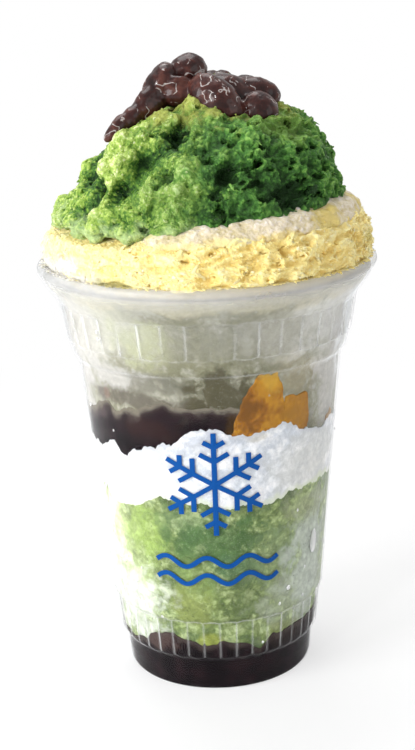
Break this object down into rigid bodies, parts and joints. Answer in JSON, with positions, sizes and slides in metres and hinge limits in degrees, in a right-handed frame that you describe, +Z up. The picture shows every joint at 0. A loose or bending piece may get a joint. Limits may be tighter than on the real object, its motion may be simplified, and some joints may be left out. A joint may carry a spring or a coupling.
{
  "type": "kakigori in a clear cup",
  "caption": "Shaved ice dessert heaped in a tall clear fluted cup: dark beans, green, white and yellow ice in layers, orange fruit and glossy sweet beans on top.",
  "frame": {"origin": "on the table under the middle of the cup", "axes": "+Z up, front towards -Y, the fruit side towards +X"},
  "size_m": [0.098, 0.098, 0.1821],
  "materials": {
    "clear_plastic": "thin clear plastic, misted with cold",
    "bean_jam": "dark wet sweet bean jam",
    "glazed_bean": "glossy syrupy cooked bean skin",
    "syrup": "thick dark glossy syrup",
    "pale_matcha_ice": "wet pale green shaved ice against the wall",
    "milk_ice": "soft white milky ice",
    "frosted_ice": "misted grey-white shaved ice",
    "mango": "wet orange fruit",
    "yellow_ice": "dry flaky pale yellow shaved ice",
    "cream": "soft white cream",
    "matcha_ice": "clumpy bright green shaved ice"
  },
  "bodies": {
    "root": {"cup": "clear_plastic", "bean_base": "bean_jam", "matcha_ice_lower": "pale_matcha_ice", "milk_layer": "milk_ice", "bean_layer": "bean_jam", "mango_1": "mango", "mango_2": "mango", "mango_3": "mango", "mango_4": "mango", "mango_5": "mango", "frosted_ice": "frosted_ice", "yellow_ice": "yellow_ice", "cream": "cream", "sweet_bean_01": "glazed_bean", "sweet_bean_02": "glazed_bean", "sweet_bean_03": "glazed_bean", "sweet_bean_04": "glazed_bean", "sweet_bean_05": "glazed_bean", "sweet_bean_06": "glazed_bean", "sweet_bean_07": "glazed_bean", "sweet_bean_08": "glazed_bean", "sweet_bean_09": "glazed_bean", "sweet_bean_10": "glazed_bean", "sweet_bean_11": "glazed_bean", "sweet_bean_12": "glazed_bean", "sweet_bean_13": "glazed_bean", "bean_syrup": "syrup", "matcha_dome": "matcha_ice"}
  },
  "joints": []
}
